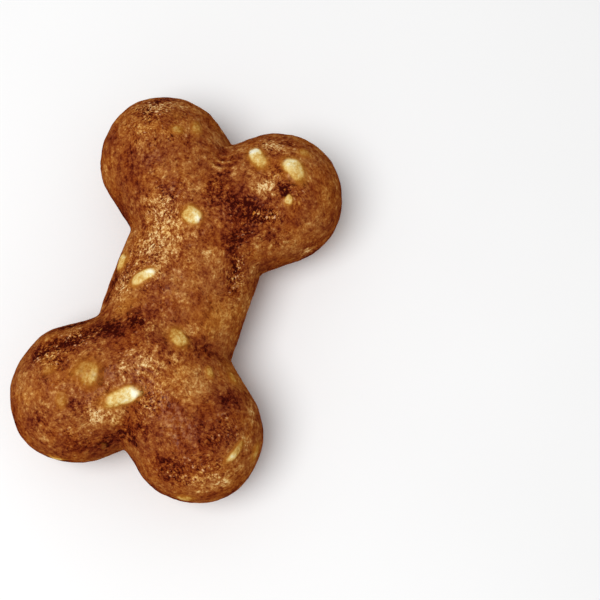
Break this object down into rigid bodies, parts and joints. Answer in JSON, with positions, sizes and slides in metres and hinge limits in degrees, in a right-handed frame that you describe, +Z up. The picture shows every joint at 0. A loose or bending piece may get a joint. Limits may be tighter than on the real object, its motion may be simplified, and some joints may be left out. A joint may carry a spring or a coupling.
{
  "type": "dog treat",
  "caption": "Bone-shaped baked treat: a thick shaft with a pair of round lobes at each end, and pale grains set in its browned crust.",
  "frame": {"origin": "under the middle of the treat's length and width, on the flat underside that it rests on", "axes": "+X along the treat, towards the end with the two grains close together on one lobe; +Z up, out of the upper side; +Y across it"},
  "size_m": [0.0602, 0.0398, 0.0191],
  "materials": {
    "crust": "baked dough, mottled brown with darker burnt creases and pale golden grains, with a soft moist gloss"
  },
  "bodies": {
    "root": {"bone_treat": "crust"}
  },
  "joints": []
}
